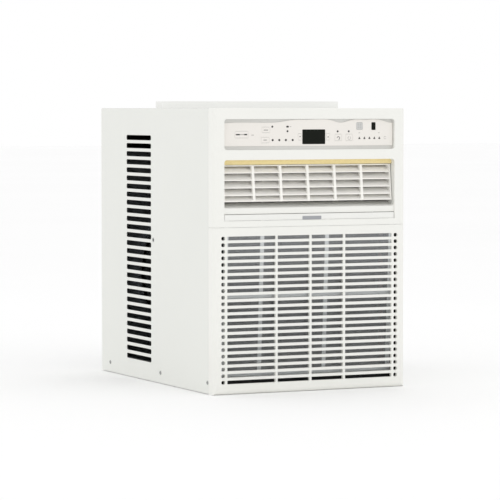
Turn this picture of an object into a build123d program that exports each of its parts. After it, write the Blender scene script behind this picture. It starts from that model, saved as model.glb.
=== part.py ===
from build123d import *
import os
from math import atan, cos, degrees, radians, sin

# A tall slider-window air conditioner, piece by piece, in millimetres.
# +Z is up, the front faces -Y, and the origin is under the middle of the unit at its underside.
# Most places are given as a depth behind the front face, because that is how the unit is laid out.

os.makedirs("parts", exist_ok=True)

# ---------------------------------------------------------------- driving dimensions
WIDTH = 397.0
DEPTH = 536.0
HEIGHT = 525.0
SHEET = 1.5                 # painted steel
CORNER_R = 8.0              # rounded front corners and lower front edge
TOP_EDGE_R = 2.5
SHELL_DEPTH = 21.0          # how far the plastic front wraps round the sides
SEAM_Z = 307.0              # joint between the grille moulding and the upper moulding
SEAM_GAP = 0.4

# intake grille
SLOT_ROWS = 23
SLOT_TOP_Z = 287.0
SLOT_PITCH = 12.0
SLOT_HEIGHT = 6.8
GRILLE_SKIN = 6.0
GRILLE_BARS_X = (0.0, 70.0, 172.5)
GRILLE_BAR = 4.5
GRILLE_HALF = 182.2

# air filter, a flat panel that leans forward and slides up out of the front
FILTER_TOP_Z = 330.0
FILTER_BOTTOM_Z = 31.3
FILTER_TOP_DEPTH = 1.1
FILTER_SLOPE = 0.0577
FILTER_HALF = 175.2
FILTER_THICK = 1.8
FILTER_STRIP = 11.0         # height of the grip strip that shows above the grille
FILTER_RIBS_X = (-97.5, 36.0)
FILTER_BAND_Z = 179.0
SLOT_HALF = 176.2           # half width of everything the filter passes through

# air outlet
OUTLET_HALF = 176.0
OUTLET_Z = (342.0, 430.0)
OUTLET_CORNER_R = 5.0
SILL_DEPTHS = (6.0, 29.5)
SILL_RISE = 8.4
TUNNEL_DEPTH = 30.0
PLASTIC = 2.5

# louvre
PIVOT_DEPTH = 20.0
PIVOT_Z = 390.0
PIVOT_R = 2.0
RUNNING_FIT = 0.08
LOUVRE_LEAN = 6.3
LOUVRE_HALF = 174.0
LOUVRE_FRONT = 8.6          # front edges of the blades, forward of the pivot
LOUVRE_RISE = 12.0          # how much each blade climbs towards its back edge
LOUVRE_BLADES = (28.7, 15.2, 1.6, -12.4, -26.1, -37.1)
LOUVRE_BARS_X = (-112.0, -56.0, 0.0, 56.0, 112.0)

# vertical vanes behind the louvre
VANE_COUNT = 6
VANE_PITCH = 52.0
VANE_DEPTH = 54.0
VANE_CHORD = 22.0
VANE_Z = (346.0, 426.0)
CRANK = 15.0                # from a vane's pivot back to its link pin
LINK_Z = (384.0, 390.0)

# control panel
PANEL_HALF = 176.0
PANEL_Z = (448.5, 504.7)
OVERLAY_BOTTOM_Z = 455.3
OVERLAY_TOP_Z = 498.0
OVERLAY_CREST_Z = 503.8
OVERLAY_THICK = 1.6
OVERLAY_NOSE = 1.0          # depth of the overlay at its middle
OVERLAY_SAG = 5.0           # how much deeper its ends are
KEY_GAP = 0.3
BOARD_DEPTH = 14.0
SWITCH_HEIGHT = 1.6
STEM_END = 11.4

# rotating parts
SHAFT_Z = 200.0
SHAFT_R = 5.0
WHEEL_R = 95.0
FAN_R = 150.0

# window rail on the top
RAIL_HALF = 188.0
RAIL_DEPTHS = (255.0, 287.0)
RAIL_HEIGHT = 13.0
RAIL_WALL = 2.0


# ---------------------------------------------------------------- helpers
def front(depth):
    """Y of a place this far behind the front face."""
    return depth - DEPTH / 2


def front_plane(depth=0.0):
    """Plane facing forward; its sketch X and Y are the unit's X and Z."""
    return Plane.XZ.offset(DEPTH / 2 - depth)


def middle(limits):
    """Half way between two limits."""
    return (limits[0] + limits[1]) / 2


def block(x, depth, z, mode=Mode.ADD):
    """Box between low and high limits in X, in depth and in Z."""
    with Locations((middle(x), front(middle(depth)), middle(z))):
        Box(x[1] - x[0], depth[1] - depth[0], z[1] - z[0], mode=mode)


def rod_x(radius, x, depth, z, mode=Mode.ADD):
    """Cylinder along X between two limits."""
    with Locations((middle(x), front(depth), z)):
        Cylinder(radius, x[1] - x[0], rotation=(0, 90, 0), mode=mode)


def rod_y(radius, x, depth, z, mode=Mode.ADD):
    """Cylinder along Y between two depths."""
    with Locations((x, front(middle(depth)), z)):
        Cylinder(radius, depth[1] - depth[0], rotation=(90, 0, 0), mode=mode)


def rod_z(radius, x, depth, z, mode=Mode.ADD):
    """Cylinder along Z between two heights."""
    with Locations((x, front(depth), middle(z))):
        Cylinder(radius, z[1] - z[0], mode=mode)


def filter_depth(z):
    """Depth of the filter's front face at a height."""
    return FILTER_TOP_DEPTH + (FILTER_TOP_Z - z) * FILTER_SLOPE


def both_sides(value):
    """A place and its mirror image."""
    return (-value, value)


# ---------------------------------------------------------------- outer case
FLOOR_Z = (3.0, 5.0)
RUNNERS_X = (-140.0, 0.0, 140.0)
SIDE_SCREWS = ((25.6, 21.7), (242.0, 20.8), (492.0, 20.1))     # depth and height
NUT_PLACE = (276.0, 273.0)
GLAND_PLACE = (110.0, 140.0)
DRAIN_PLACE = (-100.0, 470.0)                                  # X and depth
SIDE_SLOTS = 28
SIDE_SLOT_PITCH = 15.8
SIDE_SLOT_TOP_Z = 467.9
SIDE_SLOT_DEPTHS = (286.0, 407.0)
RAIL_SCREWS_X = (-150.0, -50.0, 50.0, 150.0)
case_half = WIDTH / 2
pan_half = case_half - SHEET - 0.2

with BuildPart() as base_pan:
    block((-pan_half, pan_half), (22, 534), (FLOOR_Z[0], 38))
    block((SHEET - pan_half, pan_half - SHEET), (22 + SHEET, 534 - SHEET), (FLOOR_Z[1], 39), Mode.SUBTRACT)
    for x in RUNNERS_X:
        block((x - 15, x + 15), (40, 516), (0, FLOOR_Z[0]))
    for depth, z in SIDE_SCREWS:
        rod_x(2.0, (-case_half, case_half), depth, z, Mode.SUBTRACT)
    rod_z(8.0, DRAIN_PLACE[0], DRAIN_PLACE[1], (FLOOR_Z[0] - 1, FLOOR_Z[1] + 1), Mode.SUBTRACT)
base_pan.part.label = "base_pan"
export_step(base_pan.part, "parts/base_pan.step")

with BuildPart() as cabinet:
    block((-case_half, case_half), (SHELL_DEPTH + 0.3, DEPTH), (1, HEIGHT))
    fillet(cabinet.faces().sort_by(Axis.Z)[-1].edges().filter_by(Axis.Y), TOP_EDGE_R)
    block((SHEET - case_half, case_half - SHEET), (SHELL_DEPTH, DEPTH + 1), (0, HEIGHT - SHEET), Mode.SUBTRACT)
    with BuildSketch(Plane.YZ):
        slot_zs = [SIDE_SLOT_TOP_Z - row * SIDE_SLOT_PITCH for row in range(SIDE_SLOTS)]
        with Locations([(front(middle(SIDE_SLOT_DEPTHS)), z) for z in slot_zs]):
            RectangleRounded(SIDE_SLOT_DEPTHS[1] - SIDE_SLOT_DEPTHS[0], 9.7, 3.6)
    extrude(amount=WIDTH, both=True, mode=Mode.SUBTRACT)
    for depth, z in SIDE_SCREWS:
        rod_x(2.0, (-WIDTH, WIDTH), depth, z, Mode.SUBTRACT)
    rod_x(4.6, (-WIDTH, WIDTH), NUT_PLACE[0], NUT_PLACE[1], Mode.SUBTRACT)
    rod_x(9.1, (0, WIDTH), GLAND_PLACE[0], GLAND_PLACE[1], Mode.SUBTRACT)
    for x in RAIL_SCREWS_X:
        rod_z(2.0, x, middle(RAIL_DEPTHS), (HEIGHT - 5, HEIGHT + 5), Mode.SUBTRACT)
cabinet.part.label = "cabinet"
export_step(cabinet.part, "parts/cabinet.step")

# the condenser's guard: a pressed plate with rows of slots, set just inside the rear edge
with BuildPart() as rear_guard:
    block((-pan_half, pan_half), (528, 534.5), (39, HEIGHT - SHEET - 0.5))
    block((3 - pan_half, pan_half - 3), (530, 536), (42, HEIGHT - SHEET - 3.5), Mode.SUBTRACT)
    with BuildSketch(front_plane(527)):
        with Locations((0, 280)):
            with GridLocations(60, 17.5, 6, 25):
                SlotOverall(52, 11)
    extrude(amount=-8, mode=Mode.SUBTRACT)
rear_guard.part.label = "rear_guard"
export_step(rear_guard.part, "parts/rear_guard.step")

rail_floor_z = HEIGHT + RAIL_WALL
with BuildPart() as top_rail:
    block((-RAIL_HALF, RAIL_HALF), RAIL_DEPTHS, (HEIGHT, HEIGHT + RAIL_HEIGHT))
    block((-WIDTH, WIDTH), (RAIL_DEPTHS[0] + RAIL_WALL, RAIL_DEPTHS[1] - RAIL_WALL), (rail_floor_z, HEIGHT + 20),
          Mode.SUBTRACT)
    for x in RAIL_SCREWS_X:
        rod_z(2.0, x, middle(RAIL_DEPTHS), (HEIGHT - 1, rail_floor_z + 1), Mode.SUBTRACT)
top_rail.part.label = "top_rail"
export_step(top_rail.part, "parts/top_rail.step")

# pan-head screws of the case sides and of the rail, one piece each
with BuildPart() as housing_screws:
    for side in (-1, 1):
        for depth, z in SIDE_SCREWS:
            rod_x(1.8, sorted((side * (case_half - 9), side * (case_half + 0.5))), depth, z)
            rod_x(4.0, sorted((side * case_half, side * (case_half + 1.2))), depth, z)
    for x in RAIL_SCREWS_X:
        rod_z(1.8, x, middle(RAIL_DEPTHS), (HEIGHT - 9, rail_floor_z + 0.5))
        rod_z(4.0, x, middle(RAIL_DEPTHS), (rail_floor_z, rail_floor_z + 1.4))
housing_screws.part.label = "housing_screws"
export_step(housing_screws.part, "parts/housing_screws.step")

# threaded inserts for a side bracket, flush with the case
with BuildPart() as rivet_nuts:
    for side in (-1, 1):
        span = sorted((side * (case_half - 12), side * case_half))
        rod_x(4.5, span, NUT_PLACE[0], NUT_PLACE[1])
        rod_x(2.5, span, NUT_PLACE[0], NUT_PLACE[1], Mode.SUBTRACT)
rivet_nuts.part.label = "rivet_nuts"
export_step(rivet_nuts.part, "parts/rivet_nuts.step")

with BuildPart() as cord_gland:
    rod_x(9.0, (case_half - 12, case_half), GLAND_PLACE[0], GLAND_PLACE[1])
    rod_x(12.0, (case_half - 5, case_half - SHEET), GLAND_PLACE[0], GLAND_PLACE[1])
    rod_x(4.0, (case_half - 13, case_half + 1), GLAND_PLACE[0], GLAND_PLACE[1], Mode.SUBTRACT)
cord_gland.part.label = "cord_gland"
export_step(cord_gland.part, "parts/cord_gland.step")

with BuildPart() as drain_plug:
    rod_z(7.9, DRAIN_PLACE[0], DRAIN_PLACE[1], (1.2, 8))
    rod_z(11.0, DRAIN_PLACE[0], DRAIN_PLACE[1], (FLOOR_Z[1], 8))
drain_plug.part.label = "drain_plug"
export_step(drain_plug.part, "parts/drain_plug.step")

# ---------------------------------------------------------------- front mouldings
slot_rows_z = [SLOT_TOP_Z - row * SLOT_PITCH for row in range(SLOT_ROWS)]
guide_rows_z = [z - SLOT_PITCH / 2 for z in slot_rows_z[::5]]
skin_top = filter_depth(SEAM_Z) - 0.5       # the skin thins towards the top to follow the filter
skin_full_z = SEAM_Z - (GRILLE_SKIN - skin_top) / FILTER_SLOPE

with BuildPart() as intake_grille:
    block((-case_half, case_half), (0, SHELL_DEPTH), (0, SEAM_Z - SEAM_GAP))
    front_edges = intake_grille.faces().sort_by(Axis.Y)[0].edges()
    fillet(front_edges.filter_by(Axis.Z) + front_edges.sort_by(Axis.Z)[:1], CORNER_R)
    # the hollow that holds the filter, open at the back and at the top
    with BuildSketch(Plane.YZ):
        with BuildLine():
            Polyline(
                (front(skin_top), SEAM_Z + 1),
                (front(GRILLE_SKIN), skin_full_z),
                (front(GRILLE_SKIN), 9),
                (front(SHELL_DEPTH + 1), 9),
                (front(SHELL_DEPTH + 1), SEAM_Z + 1),
                close=True,
            )
        make_face()
    extrude(amount=GRILLE_HALF + 1.3, both=True, mode=Mode.SUBTRACT)
    block((-193.5, 193.5), (CORNER_R, SHELL_DEPTH + 1), (3, SEAM_Z + 1), Mode.SUBTRACT)
    # rows of slots between the upright bars, with rounded holes at both ends of each row
    with BuildSketch(front_plane()):
        for left, right in zip(GRILLE_BARS_X[:-1], GRILLE_BARS_X[1:]):
            width = right - left - GRILLE_BAR
            for x in both_sides((left + right) / 2):
                with Locations([(x, z) for z in slot_rows_z]):
                    Rectangle(width, SLOT_HEIGHT)
        end_low = GRILLE_BARS_X[-1] + GRILLE_BAR / 2
        for x in both_sides((end_low + GRILLE_HALF) / 2):
            with Locations([(x, z) for z in slot_rows_z]):
                RectangleRounded(GRILLE_HALF - end_low, SLOT_HEIGHT, 2.6)
    extrude(amount=-GRILLE_SKIN - 1, mode=Mode.SUBTRACT)
    # ledge that the filter stands on, and lugs that keep it central, hidden behind the bars
    block((-175, 175), (GRILLE_SKIN - 1, SHELL_DEPTH), (28.0, FILTER_BOTTOM_Z - 0.3))
    for z in guide_rows_z:
        for x in both_sides(FILTER_HALF + 1.6):
            block((x - 1.2, x + 1.2), (1.5, SHELL_DEPTH), (z - 2.4, z + 2.4))
intake_grille.part.label = "intake_grille"
export_step(intake_grille.part, "parts/intake_grille.step")

with BuildPart() as front_fascia:
    block((-case_half, case_half), (0, SHELL_DEPTH), (SEAM_Z, HEIGHT))
    front_edges = front_fascia.faces().sort_by(Axis.Y)[0].edges()
    fillet(front_edges.filter_by(Axis.Z), CORNER_R)
    top_edges = front_fascia.faces().sort_by(Axis.Z)[-1].edges()
    fillet(top_edges.sort_by(Axis.Y)[:-1], TOP_EDGE_R)
    block((-193.5, 193.5), (CORNER_R, SHELL_DEPTH + 1), (SEAM_Z - 1, HEIGHT - 3), Mode.SUBTRACT)
    block((-183.5, 183.5), (3, CORNER_R), (SEAM_Z + 12, HEIGHT - 6), Mode.SUBTRACT)
    block((-SLOT_HALF, SLOT_HALF), (1.5, CORNER_R), (SEAM_Z - 1, SEAM_Z + 13), Mode.SUBTRACT)
    # outlet tunnel and control panel frame stand behind the skin
    low, high = OUTLET_Z
    block((-OUTLET_HALF - PLASTIC, OUTLET_HALF + PLASTIC), (2, TUNNEL_DEPTH), (low - PLASTIC, high + PLASTIC))
    block((-OUTLET_HALF - PLASTIC, OUTLET_HALF + PLASTIC), (2, 9), (FILTER_TOP_Z + 0.9, low))
    block((-PANEL_HALF - PLASTIC, PANEL_HALF + PLASTIC), (2, 18), (PANEL_Z[0] - PLASTIC, PANEL_Z[1] + PLASTIC))
    with BuildSketch(front_plane(-1)):
        with Locations((0, middle(OUTLET_Z))):
            RectangleRounded(2 * OUTLET_HALF, high - low, OUTLET_CORNER_R)
        with Locations((0, middle(PANEL_Z))):
            RectangleRounded(2 * PANEL_HALF, PANEL_Z[1] - PANEL_Z[0], OUTLET_CORNER_R)
    extrude(amount=-TUNNEL_DEPTH - 2, mode=Mode.SUBTRACT)
    # sill that climbs from the outlet's lower edge to just below the louvre's sweep
    with BuildSketch(Plane.YZ):
        with BuildLine():
            Polyline(
                (front(SILL_DEPTHS[0]), low - 1),
                (front(SILL_DEPTHS[0]), low),
                (front(SILL_DEPTHS[1]), low + SILL_RISE),
                (front(SILL_DEPTHS[1]), low - 1),
                close=True,
            )
        make_face()
    extrude(amount=OUTLET_HALF + 1, both=True)
    # slot for the filter, and above it the ramp that the filter slides out over
    block((-SLOT_HALF, SLOT_HALF), (-1, 12), (FILTER_TOP_Z - 11.3, FILTER_TOP_Z + 0.9), Mode.SUBTRACT)
    with BuildSketch(Plane.YZ):
        ramp_low = filter_depth(FILTER_TOP_Z) + FILTER_THICK + 0.3
        ramp_top = low + OUTLET_CORNER_R
        ramp_high = filter_depth(ramp_top) + FILTER_THICK + 0.3
        with BuildLine():
            Polyline(
                (front(-1), FILTER_TOP_Z),
                (front(ramp_low), FILTER_TOP_Z),
                (front(ramp_high), ramp_top),
                (front(-1), ramp_top),
                close=True,
            )
        make_face()
    extrude(amount=SLOT_HALF, both=True, mode=Mode.SUBTRACT)
    for side in (-1, 1):
        wall = sorted((side * (OUTLET_HALF - 1), side * (OUTLET_HALF + 4)))
        rod_x(PIVOT_R + RUNNING_FIT, wall, PIVOT_DEPTH, PIVOT_Z, Mode.SUBTRACT)
front_fascia.part.label = "front_fascia"
export_step(front_fascia.part, "parts/front_fascia.step")

# ---------------------------------------------------------------- air filter
filter_lean = atan(FILTER_SLOPE)
filter_length = (FILTER_TOP_Z - FILTER_BOTTOM_Z) / cos(filter_lean)
filter_plane = Plane(
    origin=(0, front(FILTER_TOP_DEPTH), FILTER_TOP_Z),
    x_dir=(1, 0, 0),
    z_dir=(0, -cos(filter_lean), -sin(filter_lean)),
)
FILTER_BORDER = 9.0
RIB_WIDTH = 8.0
BAND_HEIGHT = 6.5
band_v = (FILTER_BAND_Z - FILTER_TOP_Z) / cos(filter_lean)
column_edges = (-FILTER_HALF + FILTER_BORDER, *FILTER_RIBS_X, FILTER_HALF - FILTER_BORDER)
window_rows = (
    (FILTER_STRIP - filter_length, band_v - BAND_HEIGHT / 2),
    (band_v + BAND_HEIGHT / 2, -FILTER_STRIP),
)


def filter_windows():
    """Sketch of the six openings in the filter's frame, in the filter's own plane."""
    with BuildSketch() as windows:
        for index, (left, right) in enumerate(zip(column_edges[:-1], column_edges[1:])):
            left += RIB_WIDTH / 2 if index > 0 else 0
            right -= RIB_WIDTH / 2 if index < 2 else 0
            for bottom, top in window_rows:
                with Locations(((left + right) / 2, (bottom + top) / 2)):
                    Rectangle(right - left, top - bottom)
    return windows.sketch


with BuildPart() as filter_frame:
    with BuildSketch(filter_plane):
        with Locations((0, -filter_length / 2)):
            Rectangle(2 * FILTER_HALF, filter_length)
        add(filter_windows(), mode=Mode.SUBTRACT)
    extrude(amount=-FILTER_THICK)
    # grip strip, raised a little towards the front
    with BuildSketch(filter_plane):
        with Locations((0, -FILTER_STRIP / 2)):
            Rectangle(2 * FILTER_HALF, FILTER_STRIP - 0.4)
    extrude(amount=0.6)
filter_frame.part.label = "filter_frame"
export_step(filter_frame.part, "parts/filter_frame.step")

with BuildPart() as filter_mesh:
    with BuildSketch(filter_plane.offset(-FILTER_THICK / 2)):
        add(filter_windows())
    extrude(amount=0.4)
filter_mesh.part.label = "filter_mesh"
export_step(filter_mesh.part, "parts/filter_mesh.step")

with BuildPart() as filter_tab:
    with BuildSketch(filter_plane.offset(0.6)):
        with Locations((2.9, -7.6)):
            RectangleRounded(38.7, 6.4, 1.0)
    extrude(amount=0.45)
filter_tab.part.label = "filter_tab"
export_step(filter_tab.part, "parts/filter_tab.step")

# ---------------------------------------------------------------- louvre
lean = radians(LOUVRE_LEAN)
louvre_plane = Plane(
    origin=(0, front(PIVOT_DEPTH), PIVOT_Z),
    x_dir=(1, 0, 0),
    z_dir=(0, -cos(lean), sin(lean)),
)
BLADE = 1.8
END_PLATE = 2.5
louvre_span = (LOUVRE_BLADES[-1] - BLADE / 2, LOUVRE_BLADES[0] + BLADE / 2)
LOUVRE_BACK = -6.0          # back edges of the blades, behind the pivot
louvre_side = Plane(origin=louvre_plane.origin, x_dir=louvre_plane.z_dir, z_dir=(-1, 0, 0))

with BuildPart() as louvre:
    for height in LOUVRE_BLADES:
        # the top blade is a level lip, because a climbing one would meet the foam
        back, rise = (0.6, 0.0) if height == LOUVRE_BLADES[0] else (LOUVRE_BACK, LOUVRE_RISE)
        with BuildSketch(louvre_side):
            with BuildLine():
                Polyline(
                    (LOUVRE_FRONT, height - BLADE / 2),
                    (LOUVRE_FRONT, height + BLADE / 2),
                    (back, height + BLADE / 2 + rise),
                    (back, height - BLADE / 2 + rise),
                    close=True,
                )
            make_face()
        extrude(amount=LOUVRE_HALF, both=True)
    with BuildSketch(louvre_plane.offset(2)):
        with Locations([(x, middle(louvre_span)) for x in LOUVRE_BARS_X]):
            Rectangle(5.0, louvre_span[1] - louvre_span[0])
    extrude(amount=LOUVRE_FRONT - 2)
    with BuildSketch(louvre_plane.offset(-8)):
        with Locations([(x, middle(louvre_span)) for x in both_sides(LOUVRE_HALF - END_PLATE / 2)]):
            Rectangle(END_PLATE, louvre_span[1] - louvre_span[0])
    extrude(amount=LOUVRE_FRONT + 8)
    for side in (-1, 1):
        pin = sorted((side * (LOUVRE_HALF - 1), side * (LOUVRE_HALF + 4)))
        rod_x(PIVOT_R, pin, PIVOT_DEPTH, PIVOT_Z)
        dimple = sorted((side * (LOUVRE_HALF - END_PLATE - 1), side * (LOUVRE_HALF - END_PLATE + 1)))
        rod_x(1.7, dimple, PIVOT_DEPTH - 5, PIVOT_Z + 0.5, Mode.SUBTRACT)
louvre.part.label = "louvre"
export_step(louvre.part, "parts/louvre.step")

# ---------------------------------------------------------------- vertical vanes and their link
vane_places = [(index - (VANE_COUNT - 1) / 2) * VANE_PITCH for index in range(VANE_COUNT)]
VANE_THICK = 1.5
VANE_PIN_R = 1.5
LINK_PIN_R = 1.2
DUCT_Z = (344.0, 428.0)
DUCT_WALL = 3.0

for number, x in enumerate(vane_places, start=1):
    with BuildPart() as vane:
        half = VANE_CHORD / 2
        block((x - VANE_THICK / 2, x + VANE_THICK / 2), (VANE_DEPTH - half, VANE_DEPTH + half), VANE_Z)
        fillet(vane.edges().filter_by(Axis.Z), VANE_THICK * 0.45)
        rod_z(VANE_PIN_R, x, VANE_DEPTH, (DUCT_Z[0] - 2.4, DUCT_Z[1] + 2.4))
        # fork with the link's pin, standing behind the vane
        for fork_z in ((LINK_Z[0] - 4, LINK_Z[0] - 1), (LINK_Z[1] + 1, LINK_Z[1] + 4)):
            block((x - VANE_THICK / 2, x + VANE_THICK / 2), (VANE_DEPTH + half - 2, VANE_DEPTH + CRANK), fork_z)
            rod_z(LINK_PIN_R + 0.8, x, VANE_DEPTH + CRANK, fork_z)
        rod_z(LINK_PIN_R, x, VANE_DEPTH + CRANK, (LINK_Z[0] - 1, LINK_Z[1] + 1))
    vane.part.label = f"vane_{number}"
    export_step(vane.part, f"parts/vane_{number}.step")

with BuildPart() as vane_link:
    reach = vane_places[-1] + 8
    block((-reach, reach), (VANE_DEPTH + CRANK - 2.4, VANE_DEPTH + CRANK + 2.4), LINK_Z)
    fillet(vane_link.edges().filter_by(Axis.Z), 2.0)
    for x in vane_places:
        rod_z(LINK_PIN_R + 0.35, x, VANE_DEPTH + CRANK, (LINK_Z[0] - 1, LINK_Z[1] + 1), Mode.SUBTRACT)
vane_link.part.label = "vane_link"
export_step(vane_link.part, "parts/vane_link.step")

with BuildPart() as outlet_duct:
    outer_half = OUTLET_HALF + DUCT_WALL
    duct_depths = (TUNNEL_DEPTH + 0.3, 92.0)
    block((-outer_half, outer_half), duct_depths, (DUCT_Z[0] - DUCT_WALL, DUCT_Z[1] + DUCT_WALL))
    block((-OUTLET_HALF, OUTLET_HALF), (duct_depths[0] - 1, duct_depths[1] + 1), DUCT_Z, Mode.SUBTRACT)
    for x in vane_places:
        rod_z(VANE_PIN_R + RUNNING_FIT, x, VANE_DEPTH, (DUCT_Z[0] - 5, DUCT_Z[1] + 5), Mode.SUBTRACT)
outlet_duct.part.label = "outlet_duct"
export_step(outlet_duct.part, "parts/outlet_duct.step")

# foam strip along the top of the outlet
with BuildPart() as outlet_foam:
    block((-OUTLET_HALF + 0.3, OUTLET_HALF - 0.3), (12, TUNNEL_DEPTH - 1), (421.3, OUTLET_Z[1]))
    fillet(outlet_foam.edges().filter_by(Axis.Y).group_by(Axis.Z)[-1], OUTLET_CORNER_R - 0.2)
outlet_foam.part.label = "outlet_foam"
export_step(outlet_foam.part, "parts/outlet_foam.step")

# ---------------------------------------------------------------- control panel
# name, X and Z of the middle, width and height
KEYS = {
    "power_button": (-139.5, 476.5, 26.0, 12.0),
    "speed_button": (-91.0, 485.0, 16.0, 10.0),
    "mode_button": (-92.5, 466.3, 16.0, 10.0),
    "temp_down_button": (-22.0, 472.0, 7.0, 12.0),
    "temp_up_button": (36.5, 472.0, 7.0, 12.0),
    "timer_button": (58.0, 470.5, 14.0, 12.0),
    "eco_button": (81.0, 470.5, 14.0, 12.0),
    "sleep_button": (103.2, 491.6, 13.2, 13.2),
}
DISPLAY = (6.8, 472.0, 47.1, 26.7)
RECEIVER = (133.2, 491.3, 8.6, 14.0)


def bowed_slab(near, far):
    """Plan outline of a slab that follows the overlay's bow, between two distances behind its face."""
    end = PANEL_HALF
    with BuildSketch() as plan:
        with BuildLine():
            ends = [OVERLAY_NOSE + OVERLAY_SAG + offset for offset in (near, far)]
            noses = [OVERLAY_NOSE + offset for offset in (near, far)]
            ThreePointArc((-end, front(ends[0])), (0, front(noses[0])), (end, front(ends[0])))
            Line((end, front(ends[0])), (end, front(ends[1])))
            ThreePointArc((end, front(ends[1])), (0, front(noses[1])), (-end, front(ends[1])))
            Line((-end, front(ends[1])), (-end, front(ends[0])))
        make_face()
    return plan.sketch


def panel_patch(place, grow=0.0):
    """Rounded patch of the panel, seen from the front, grown all round."""
    x, z, width, height = place
    with BuildSketch(front_plane(-1)) as patch:
        with Locations((x, z)):
            RectangleRounded(width + 2 * grow, height + 2 * grow, 1.2 + grow)
    return patch.sketch


def overlay_outline():
    """Front outline of the overlay: a straight foot and a top edge with two low crests."""
    half = PANEL_HALF - 1.3
    low, high = OVERLAY_TOP_Z, OVERLAY_CREST_Z
    with BuildSketch(front_plane(-1)) as outline:
        with BuildLine():
            Polyline((-half, low - 0.6), (-half, OVERLAY_BOTTOM_Z), (half, OVERLAY_BOTTOM_Z), (half, low - 0.6))
            Spline(
                (half, low - 0.6), (166, low + 0.2), (146, high - 0.4), (116, high), (88, high - 0.5),
                (63.5, low - 0.2), (40, high - 0.6), (0, high), (-34, high - 0.4), (-62, low + 1.4),
                (-100, low), (-half, low - 0.6),
            )
        make_face()
    return outline.sketch


with BuildPart() as control_overlay:
    extrude(bowed_slab(0, OVERLAY_THICK), amount=HEIGHT)
    extrude(overlay_outline(), amount=-20, mode=Mode.INTERSECT)
    block((0.6 - PANEL_HALF, PANEL_HALF - 0.6), (-1, 20), (OVERLAY_BOTTOM_Z, PANEL_Z[1] - 0.4), Mode.INTERSECT)
    for place in (*KEYS.values(), DISPLAY, RECEIVER):
        extrude(panel_patch(place, KEY_GAP), amount=-20, mode=Mode.SUBTRACT)
control_overlay.part.label = "control_overlay"
export_step(control_overlay.part, "parts/control_overlay.step")

# keys: caps that continue the overlay's surface, each on a stem that reaches its switch
for name, place in KEYS.items():
    with BuildPart() as key:
        extrude(bowed_slab(0, OVERLAY_THICK), amount=HEIGHT)
        extrude(panel_patch(place), amount=-20, mode=Mode.INTERSECT)
        cap_depth = OVERLAY_NOSE + OVERLAY_SAG * (place[0] / PANEL_HALF) ** 2 + OVERLAY_THICK / 2
        rod_y(2.0, place[0], (cap_depth, STEM_END), place[1])
    key.part.label = name
    export_step(key.part, f"parts/{name}.step")

with BuildPart() as display_window:
    extrude(bowed_slab(0.15, 2.2), amount=HEIGHT)
    extrude(panel_patch(DISPLAY), amount=-20, mode=Mode.INTERSECT)
display_window.part.label = "display_window"
export_step(display_window.part, "parts/display_window.step")

with BuildPart() as receiver_window:
    extrude(bowed_slab(0.1, 2.2), amount=HEIGHT)
    extrude(panel_patch(RECEIVER), amount=-20, mode=Mode.INTERSECT)
receiver_window.part.label = "receiver_window"
export_step(receiver_window.part, "parts/receiver_window.step")

# sunk grey frame that follows the bow just behind the overlay and shows all round it
with BuildPart() as control_bezel:
    extrude(bowed_slab(OVERLAY_THICK + 0.1, OVERLAY_THICK + 2.1), amount=HEIGHT)
    with BuildSketch(front_plane(-1)):
        with Locations((0, middle(PANEL_Z))):
            RectangleRounded(2 * PANEL_HALF - 0.4, PANEL_Z[1] - PANEL_Z[0] - 0.2, OUTLET_CORNER_R - 0.3)
    extrude(amount=-20, mode=Mode.INTERSECT)
    # opened for the board behind, and higher where the square key and the receiver stand
    block((-168, 168), (0, 20), (458.2, 496.5), Mode.SUBTRACT)
    block((90, 142), (0, 20), (458.2, 499.5), Mode.SUBTRACT)
control_bezel.part.label = "control_bezel"
export_step(control_bezel.part, "parts/control_bezel.step")

# circuit board with the keys' switches, the display module and the receiver
with BuildPart() as control_board:
    block((-165, 165), (BOARD_DEPTH, BOARD_DEPTH + 1.6), (457.5, 500.5))
    for x, z, _, _ in KEYS.values():
        block((x - 3, x + 3), (BOARD_DEPTH - SWITCH_HEIGHT, BOARD_DEPTH), (z - 3, z + 3))
    x, z, width, height = DISPLAY
    block((x - 22, x + 22), (4, BOARD_DEPTH), (z - 12, z + 12))
    block((RECEIVER[0] - 3, RECEIVER[0] + 3), (7, BOARD_DEPTH), (RECEIVER[1] - 4, RECEIVER[1] + 4))
control_board.part.label = "control_board"
export_step(control_board.part, "parts/control_board.step")

# ---------------------------------------------------------------- heat exchangers
TUBE_R = 4.0
TUBE_PITCH = 25.0
COIL_PLATE = 1.5


def coil_rows(lowest, count):
    """Heights of a coil's tubes."""
    return [lowest + row * TUBE_PITCH for row in range(count)]


def coil_tubes(half, columns, rows):
    """Straight tubes of a coil with their return bends, alternating sides row by row."""
    with BuildPart() as tubes:
        for depth in columns:
            for z in rows:
                rod_x(TUBE_R, (-half, half), depth, z)
            for row, z in enumerate(rows[:-1]):
                side = -1 if row % 2 == 0 else 1
                with Locations(Location((side * half, front(depth), z + TUBE_PITCH / 2), (90, 0, 0))):
                    Torus(TUBE_PITCH / 2, TUBE_R, major_angle=180, rotation=(0, 0, side * -90), align=None)
    return tubes.part


def coil_sheet(depths, heights, columns, rows, radius):
    """Outline of an end plate of a coil, with its tube holes."""
    with BuildSketch() as sheet:
        with Locations((front(middle(depths)), middle(heights))):
            Rectangle(depths[1] - depths[0], heights[1] - heights[0])
        with Locations([(front(depth), z) for depth in columns for z in rows]):
            Circle(radius, mode=Mode.SUBTRACT)
    return sheet.sketch


EVAPORATOR_HALF = 165.0
EVAPORATOR_DEPTHS = (50.0, 80.0)
EVAPORATOR_HEIGHTS = (37.0, 313.0)
EVAPORATOR_COLUMNS = (58.0, 72.0)
evaporator_rows = coil_rows(50.0, 11)
CONDENSER_HALF = 172.0
CONDENSER_DEPTHS = (482.0, 522.0)
CONDENSER_HEIGHTS = (17.0, 493.0)
CONDENSER_COLUMNS = (492.0, 512.0)
condenser_rows = coil_rows(30.0, 19)


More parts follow.
